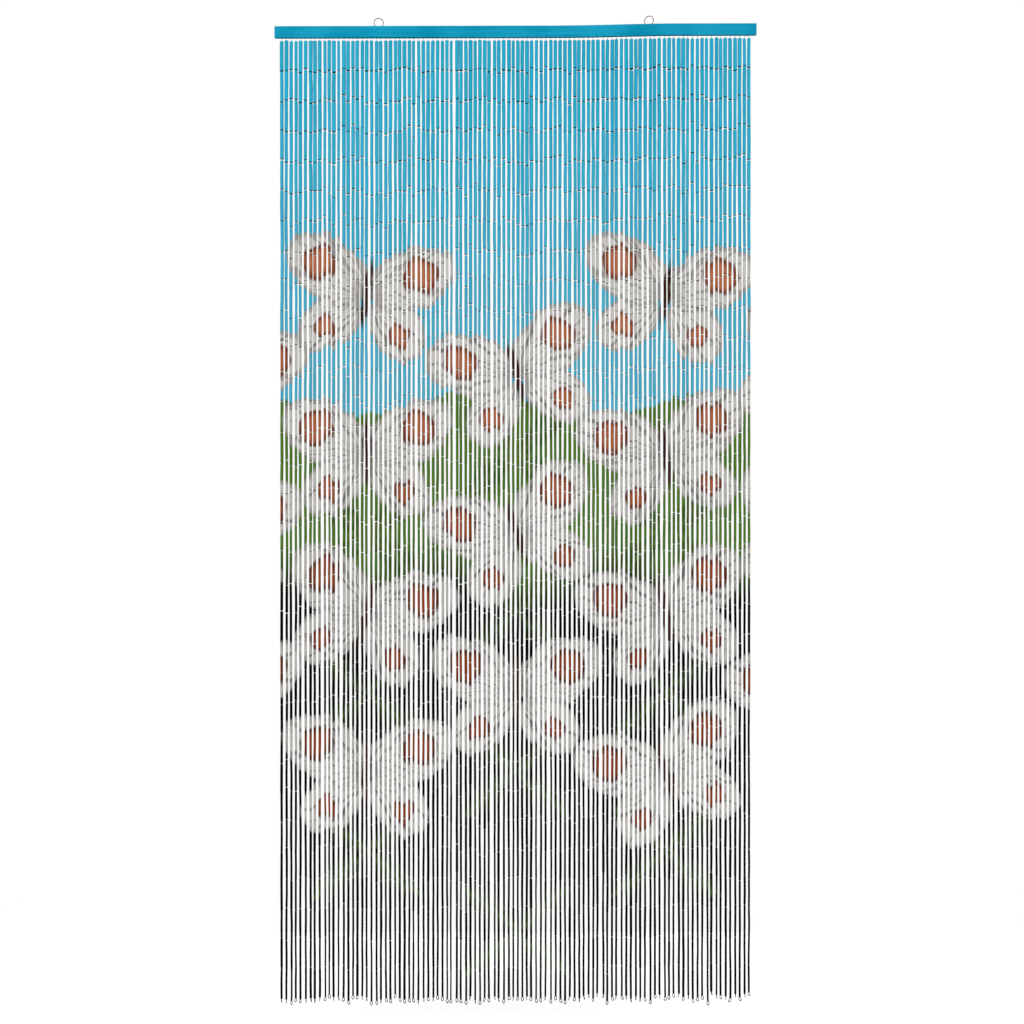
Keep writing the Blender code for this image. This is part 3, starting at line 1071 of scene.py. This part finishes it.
def lattice_place(node, place, across, drop, rows):
    """The place from the middle of the nearest motif, that motif's random number, and whether it exists."""
    pitch = (LATTICE_ACROSS, LATTICE_DOWN, 1.0)
    offset = node("VectorMath", {0: place, 1: (across, drop, 0.0)}, operation="SUBTRACT")
    cells = node("VectorMath", {0: offset, 1: pitch}, operation="DIVIDE")
    shifted = node("VectorMath", {0: cells, 1: (0.5, 0.5, 0.0)}, operation="ADD")
    cell = node("VectorMath", {0: shifted}, operation="FLOOR")
    middle = node("VectorMath", {0: cell, 1: pitch}, operation="MULTIPLY")
    local = node("VectorMath", {0: offset, 1: middle}, operation="SUBTRACT")
    upright = node("VectorMath", {0: local, 1: (1.0, -1.0, 0.0)}, operation="MULTIPLY")
    first, second = TILT_SEED
    seed = node("VectorMath", {0: cell, 1: (first, second + drop, 0.0)}, operation="ADD")
    chance = node("TexWhiteNoise", {"Vector": seed}, noise_dimensions="2D")
    row = node("SeparateXYZ", {0: cell}, output=1)
    low = node("Math", {0: row, 1: -0.5}, operation="GREATER_THAN")
    high = node("Math", {0: row, 1: rows - 0.5}, operation="LESS_THAN")
    there = node("Math", {0: low, 1: high}, operation="MULTIPLY")
    return upright, chance, there


def butterfly_rows(node, place, ground, across, drop, rows):
    """Sprays one lattice of butterflies over the ground, and returns the new colour."""
    upright, chance, there = lattice_place(node, place, across, drop, rows)
    tilt = node("MapRange", {"Value": chance, "To Min": -TILT_MOST, "To Max": TILT_MOST})
    turned = node("VectorRotate", {"Vector": upright, "Angle": tilt}, rotation_type="Z_AXIS")
    folded = node("VectorMath", {0: turned}, operation="ABSOLUTE")
    out = node("SeparateXYZ", {0: folded})
    up = node("SeparateXYZ", {0: turned}, output=1)
    half = node("CombineXYZ", {"X": out, "Y": up})
    angle = node("Math", {0: up, 1: out}, operation="ARCTAN2")
    rays = node("Math", {0: angle, 1: VEINS}, operation="MULTIPLY")
    rays = node("CombineXYZ", {"X": rays, "Y": chance})
    veins = node("TexNoise", {"Vector": rays, "Scale": 1.0, "Detail": 1.0})
    bright = node("MapRange", {VALUE: veins, NONE_AT: VEIN_DARK, FULL_AT: VEIN_PALE}, **SOFT)
    far = node("VectorMath", {0: half}, 1, operation="LENGTH")
    far = node("MapRange", {VALUE: far, NONE_AT: 0.0, FULL_AT: VEINS_FROM}, **SOFT)
    bright = node("Math", {0: bright, 1: far}, operation="MULTIPLY")
    drop = node("SeparateXYZ", {0: place}, output=1)
    low = node("MapRange", {VALUE: drop, NONE_AT: HEAVY_FROM, FULL_AT: HEAVY_TO}, **SOFT)
    shade, plain, edges, dots = [
        node("Mix", {SHARE: low, UNDER: light, OVER: heavy}, MIXED, **COLOUR)
        for light, heavy in BUTTERFLY_PAINTS
    ]
    plain = node("Mix", {SHARE: bright, UNDER: shade, OVER: plain}, MIXED, **COLOUR)
    colour = ground
    for wing_out, wing_up, slope, long, wide, spot_out, spot_up, spot in WINGS:
        turn = {
            "Vector": half,
            "Location": (wing_out, wing_up, 0.0),
            "Rotation": (0.0, 0.0, math.radians(slope)),
            "Scale": (long, wide, 1.0),
        }
        inside = node("Mapping", turn, vector_type="TEXTURE")
        inside = node("VectorMath", {0: inside}, 1, operation="LENGTH")
        rim = node("MapRange", {VALUE: inside, NONE_AT: RIM_FROM, FULL_AT: WING_END}, **SOFT)
        wing = node("Mix", {SHARE: rim, UNDER: plain, OVER: "#9a9792"}, MIXED, **COLOUR)
        middle = (spot_out, spot_up, 0.0)
        away = node("VectorMath", {0: half, 1: middle}, 1, operation="DISTANCE")
        edge = node("MapRange", {VALUE: away, NONE_AT: SPOT_EDGE * spot, FULL_AT: spot}, **SOFT)
        dot = node("Mix", {SHARE: edge, UNDER: dots, OVER: edges}, MIXED, **COLOUR)
        cover = {VALUE: away, NONE_AT: spot + SMALL_BLUR, FULL_AT: spot - SMALL_BLUR}
        cover = node("MapRange", cover, **SOFT)
        wing = node("Mix", {SHARE: cover, UNDER: wing, OVER: dot}, MIXED, **COLOUR)
        cover = node("MapRange", {VALUE: inside, NONE_AT: WING_END + WING_BLUR, FULL_AT: WING_END}, **SOFT)
        cover = node("Math", {0: cover, 1: there}, operation="MULTIPLY")
        colour = node("Mix", {SHARE: cover, UNDER: colour, OVER: wing}, MIXED, **COLOUR)
    body = node("VectorMath", {0: half, 1: (BODY_WIDE, BODY_LONG, 1.0)}, operation="DIVIDE")
    body = node("VectorMath", {0: body}, 1, operation="LENGTH")
    cover = node("MapRange", {VALUE: body, NONE_AT: BODY_FROM, FULL_AT: BODY_TO}, **SOFT)
    cover = node("Math", {0: cover, 1: there}, operation="MULTIPLY")
    return node("Mix", {SHARE: cover, UNDER: colour, OVER: "#3a1d12"}, MIXED, **COLOUR)


def leaf_rows(node, place, ground, across, drop, rows):
    """Sprays crossed leaves over the ground: four about each middle, mirrored from one."""
    upright, _, there = lattice_place(node, place, across, drop, rows)
    folded = node("VectorMath", {0: upright}, operation="ABSOLUTE")
    leaf = node("VectorRotate", {"Vector": folded, "Angle": -LEAF_SLOPE}, rotation_type="Z_AXIS")
    along = node("SeparateXYZ", {0: leaf})
    off = node("Math", {0: along.node.outputs[1]}, operation="ABSOLUTE")
    swell = node("Math", {0: along, 1: math.pi / LEAF_LONG}, operation="MULTIPLY")
    swell = node("Math", {0: swell}, operation="SINE")
    room = node("Math", {0: swell, 1: LEAF_WIDE}, operation="MULTIPLY")
    room = node("Math", {0: room, 1: off}, operation="SUBTRACT")
    cover = node("MapRange", {VALUE: room, NONE_AT: -SMALL_BLUR, FULL_AT: LEAF_BLUR}, **SOFT)
    within = node("Math", {0: along, 1: LEAF_LONG}, operation="LESS_THAN")
    cover = node("Math", {0: cover, 1: within}, operation="MULTIPLY")
    cover = node("Math", {0: cover, 1: there}, operation="MULTIPLY")
    rib = node("MapRange", {VALUE: off, NONE_AT: LEAF_RIB, FULL_AT: 0.0}, **SOFT)
    leaf = node("Mix", {SHARE: rib, UNDER: "#22380f", OVER: "#4c6a2c"}, MIXED, **COLOUR)
    leaf = node("Mix", {SHARE: LEAF_THIN, UNDER: leaf, OVER: ground}, MIXED, **COLOUR)
    return node("Mix", {SHARE: cover, UNDER: ground, OVER: leaf}, MIXED, **COLOUR)


def picture(node):
    """The colour of the sprayed picture at a place on the curtain."""
    flat = node("UVMap", {}, uv_map="Painted")
    place = node("VectorMath", {0: flat, 1: (1.0, -1.0, 0.0)}, operation="MULTIPLY")
    drift = node("TexNoise", {"Vector": place, "Scale": DRIFT_WAVES}, output=1)
    drift = node("VectorMath", {0: drift, 1: (0.5, 0.5, 0.5)}, operation="SUBTRACT")
    drift = node("VectorMath", {0: drift, 1: (DRIFT, DRIFT, 0.0)}, operation="MULTIPLY")
    place = node("VectorMath", {0: place, 1: drift}, operation="ADD")
    across = node("SeparateXYZ", {0: place})
    drop = across.node.outputs[1]
    clouds = node("TexNoise", {"Vector": place, "Scale": CLOUDS, "Detail": 1.0})
    haze = node("MapRange", {VALUE: drop, NONE_AT: HAZE_FROM, FULL_AT: SKY_END}, **SOFT)
    sky = node("Mix", {SHARE: clouds, UNDER: "#1aacce", OVER: "#3cbedd"}, MIXED, **COLOUR)
    sky = node("Mix", {SHARE: haze, UNDER: sky, OVER: "#4fb0cb"}, MIXED, **COLOUR)
    green = node("Mix", {SHARE: clouds, UNDER: "#41691d", OVER: "#598131"}, MIXED, **COLOUR)
    past_sky = wave_edge(node, across, drop, SKY_END, SKY_WAVE, SKY_WAVE_LONG, STENCIL_BLUR)
    past_green = wave_edge(node, across, drop, GREEN_END, GREEN_WAVE, GREEN_WAVE_LONG, GREEN_FADE)
    colour = node("Mix", {SHARE: past_sky, UNDER: sky, OVER: green}, MIXED, **COLOUR)
    colour = node("Mix", {SHARE: past_green, UNDER: colour, OVER: "#020202"}, MIXED, **COLOUR)
    for row in LEAVES:
        colour = leaf_rows(node, place, colour, *row)
    for row in BUTTERFLIES:
        colour = butterfly_rows(node, place, colour, *row)
    return colour


# %% [markdown]
# ## Materials of the strings
#
# Painted bamboo: an airbrushed, matt, water-based paint on a smooth rind. Every tube took the paint a
# little differently, fine fibres run along it, and its sides were sprayed thinly, so a little bare cane
# shows there, mixed with a dark brown-grey that is painted shade on the sides. Its lower end is painted
# nearly black: painted shade of the joint.

# %% Painted bamboo
TONE, TONE_SPREAD, STREAK_TONE = 0.92, 0.06, 0.16
FIBRE_ACROSS, FIBRE_ALONG = 1900.0, 45.0
FIBRE_HEIGHT = 0.00004
# How much bare cane and painted shade the sides get, where they start as the rind turns away, and how far
# streaks carry that in and out
SIDE_BARE_AND_SHADE, SIDE_FROM, SIDE_TO, SIDE_STREAKS = 0.10, 0.45, 0.20, 0.25
# How dark the painted shade at the lower end is, and from where to where along the tube it darkens
END_SHADE, END_FROM, END_TO = 0.94, 0.976, 0.992


def fibres(node):
    """Fine lengthwise streaks of the bamboo's fibres, from 0 to 1."""
    spot = node("TexCoord", {}, output="Object")
    stretch = (FIBRE_ACROSS, FIBRE_ACROSS, FIBRE_ALONG)
    fine = node("VectorMath", {0: spot, 1: stretch}, operation="MULTIPLY")
    return node("TexNoise", {"Vector": fine, "Scale": 1.0, "Detail": 2.0})


def painted_bamboo(node):
    colour = picture(node)
    notes = node("UVMap", {}, uv_map="Tube")
    tone = node("SeparateXYZ", {0: notes})
    along = tone.node.outputs[1]
    streaks = fibres(node)
    light = node("MapRange", {"Value": tone, "To Min": TONE - TONE_SPREAD, "To Max": TONE + TONE_SPREAD})
    light = node("Math", {0: streaks, 1: STREAK_TONE, 2: light}, operation="MULTIPLY_ADD")
    colour = node("VectorMath", {0: colour, "Scale": light}, operation="SCALE")
    # Bare cane and painted shade: rind that faces sideways is mixed towards a dark brown-grey
    normal = node("TexCoord", {}, output="Normal")
    facing = node("SeparateXYZ", {0: normal}, output=1)
    facing = node("Math", {0: facing}, operation="ABSOLUTE")
    facing = node("Math", {0: streaks, 1: SIDE_STREAKS, 2: facing}, operation="MULTIPLY_ADD")
    side = node("MapRange", {VALUE: facing, NONE_AT: SIDE_FROM, FULL_AT: SIDE_TO}, **SOFT)
    side = node("Math", {0: side, 1: SIDE_BARE_AND_SHADE}, operation="MULTIPLY")
    colour = node("Mix", {SHARE: side, UNDER: colour, OVER: "#4a4038"}, MIXED, **COLOUR)
    # Painted shade: the lower end of each tube darkens to nearly black, standing in for the shade of the
    # joint
    end = node("MapRange", {VALUE: along, NONE_AT: END_FROM, FULL_AT: END_TO}, **SOFT)
    end = node("Math", {0: end, 1: END_SHADE}, operation="MULTIPLY")
    colour = node("Mix", {SHARE: end, UNDER: colour, OVER: "#120d0a"}, MIXED, **COLOUR)
    bump = node("Bump", {"Strength": 0.5, "Distance": FIBRE_HEIGHT, "Height": streaks})
    return {"Base Color": colour, "Roughness": 0.60, "Specular IOR Level": 0.03, "Normal": bump}


painted = new_material("Airbrushed matt paint on bamboo", painted_bamboo)
print(painted.name, "has", len(painted.node_tree.nodes), "nodes")

# %% [markdown]
# Cut bamboo: the sawn ends and the bore were never sprayed. They are painted a dull umber so dark that it
# is nearly black, as painted shade of the bore and the joints.
#
# Galvanised wire: zinc-coated steel wire, a grey metal with a soft shine that dulls in patches of a
# millimetre or so.

# %% Cut bamboo and galvanised wire
def shaded_cut_bamboo(node):
    grain = fibres(node)
    # Painted shade: near-black umber stands in for the shade in the bore and under the joints
    colour = node("Mix", {SHARE: grain, UNDER: "#060403", OVER: "#17110c"}, MIXED, **COLOUR)
    return {"Base Color": colour, "Roughness": 0.75}


def steel_wire(patches, dark, pale, roughness, node):
    """Bare steel wire that is mottled in so many patches to a metre."""
    spot = node("TexCoord", {}, output="Object")
    mottled = node("TexNoise", {"Vector": spot, "Scale": patches, "Detail": 2.0})
    colour = node("Mix", {SHARE: mottled, UNDER: dark, OVER: pale}, MIXED, **COLOUR)
    return {"Base Color": colour, "Metallic": 1.0, "Roughness": roughness}


ZINC_PATCHES = 900.0
galvanised_wire = functools.partial(steel_wire, ZINC_PATCHES, "#121211", "#383837", 0.38)
cut = new_material("Sawn bamboo end in painted shade", shaded_cut_bamboo)
wire = new_material("Galvanised steel wire", galvanised_wire)
for piece in pieces:
    for material in (painted, cut, wire):
        piece.data.materials.append(material)
print(len(pieces), "pieces painted")

# %% [markdown]
# ## Materials of the slat and the eyes
#
# Blue slat: the softwood is brushed lengthwise with satin paint. Brush strokes leave fine ridges along the
# slat, and where the paint is thin the grain makes it a little lighter.
#
# Bright drawn wire: the eyes are steel wire drawn through a die, which leaves it bright and smooth.

# %% Slat paint and bright wire
# Brush strokes to a metre along the slat and across it, how high their ridges are, and patches to a metre
STROKES_ALONG, STROKES_ACROSS, STROKE_HEIGHT, SLAT_PATCHES = 6.0, 700.0, 0.00006, 9.0
THIN_FROM, THIN_TO = 0.14, 0.34
DRAWN_MARKS = 400.0


def slat_paint(node):
    spot = node("TexCoord", {}, output="Object")
    stretch = (STROKES_ALONG, STROKES_ACROSS, STROKES_ACROSS)
    long = node("VectorMath", {0: spot, 1: stretch}, operation="MULTIPLY")
    strokes = node("TexNoise", {"Vector": long, "Scale": 1.0, "Detail": 3.0})
    patches = node("TexNoise", {"Vector": spot, "Scale": SLAT_PATCHES, "Detail": 1.0})
    thin = node("Math", {0: strokes, 1: patches}, operation="MULTIPLY")
    thin = node("MapRange", {VALUE: thin, NONE_AT: THIN_FROM, FULL_AT: THIN_TO}, **SOFT)
    colour = node("Mix", {SHARE: thin, UNDER: "#0094b9", OVER: "#1aaacf"}, MIXED, **COLOUR)
    bump = node("Bump", {"Strength": 0.4, "Distance": STROKE_HEIGHT, "Height": strokes})
    return {"Base Color": colour, "Roughness": 0.55, "Specular IOR Level": 0.04, "Normal": bump}


bright_wire = functools.partial(steel_wire, DRAWN_MARKS, "#2c2c2b", "#6a6a68", 0.28)
slat.data.materials.clear()
slat.data.materials.append(new_material("Blue satin paint on softwood", slat_paint))
bright = new_material("Bright drawn steel wire", bright_wire)
for eye in eyes:
    eye.data.materials.append(bright)
print("slat and eyes painted")

# %% [markdown]
# ## Which piece stands for which solid
#
# The curtain's plain solids stay in the scene, and the detailed pieces take their places in the picture.

# %% Hand the pieces over
REPLACED = [(slat, "header", "header_paint")]
REPLACED += [(eye, name, "eye_wire") for eye, (name, _, _) in zip(eyes, EYES)]
REPLACED += [(piece, "strands", "bamboo") for piece in pieces]
for piece, node, slot in REPLACED:
    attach(piece, "root")
    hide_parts(node)
print(len(REPLACED), "pieces ride on the curtain's one body")

# %% [markdown]
# ## Studio
#
# Catalogue pictures of such curtains are taken against pure white with big soft lamps in front. The floor
# is a white board under the curtain that also glows a little, so that it stays white behind the thin
# strings. The surround is white where the camera looks at it and dimmer as a light. It gives less light
# from below, which leaves the lower ends of the tubes dark.

# %% Floor, surround and lamps
FLOOR_DROP = 0.045
FLOOR_WIDE, FLOOR_DEEP = 6.0, 1.6
LIGHT_ABOVE, LIGHT_BELOW = 0.60, 0.05
# The heights of a direction, from -1 straight down to 1 straight up, between which the light grows
GROWS_FROM, GROWS_TO = -0.5, 0.3

low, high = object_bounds()
select_only()
bpy.ops.mesh.primitive_plane_add(size=1.0, location=(0, 0, low[2] - FLOOR_DROP))
floor = bpy.context.object
floor.name = "floor"
floor.scale = (FLOOR_WIDE, FLOOR_DEEP, 1.0)


def white_board(node):
    return {
        "Base Color": "#f4f4f4",
        "Roughness": 0.9,
        "Emission Color": "#ffffff",
        "Emission Strength": 0.30,
    }


floor.data.materials.append(new_material("White studio board", white_board))

world = bpy.data.worlds.new("white surround")
world.use_nodes = True
bpy.context.scene.world = world
tree = world.node_tree
tree.nodes.clear()
node = functools.partial(add_node, tree)
way = node("TexCoord", {}, output="Generated")
height = node("SeparateXYZ", {0: way}, output=2)
grows = {"From Min": GROWS_FROM, "From Max": GROWS_TO, "To Min": LIGHT_BELOW, "To Max": LIGHT_ABOVE}
light = node("MapRange", {"Value": height, **grows}, **SOFT)
seen = node("LightPath", {}, output="Is Camera Ray")
light = node("Math", {0: light, 1: seen}, operation="MAXIMUM")
glow = node("Background", {"Color": "#ffffff", "Strength": light})
node("OutputWorld", {"Surface": glow}, output=None)

# Lamps: name, place, width, height, watts
LAMPS = (
    ("key", (-3.2, -3.4, 0.2), 2.4, 2.4, 92.0),
    ("fill", (3.4, -3.2, 0.0), 2.4, 2.4, 70.0),
    ("back", (1.0, 4.2, 0.6), 3.0, 3.0, 90.0),
)
AIM = Vector((0.0, 0.0, -1.0))
for name, place, wide, tall, watts in LAMPS:
    way = AIM - Vector(place)
    select_only()
    bpy.ops.object.light_add(type="AREA", location=place, rotation=way.to_track_quat("-Z", "Y").to_euler())
    lamp = bpy.context.object
    lamp.name = name
    lamp.data.shape = "RECTANGLE"
    lamp.data.size = wide
    lamp.data.size_y = tall
    lamp.data.energy = watts
print("lamps", [lamp[0] for lamp in LAMPS])
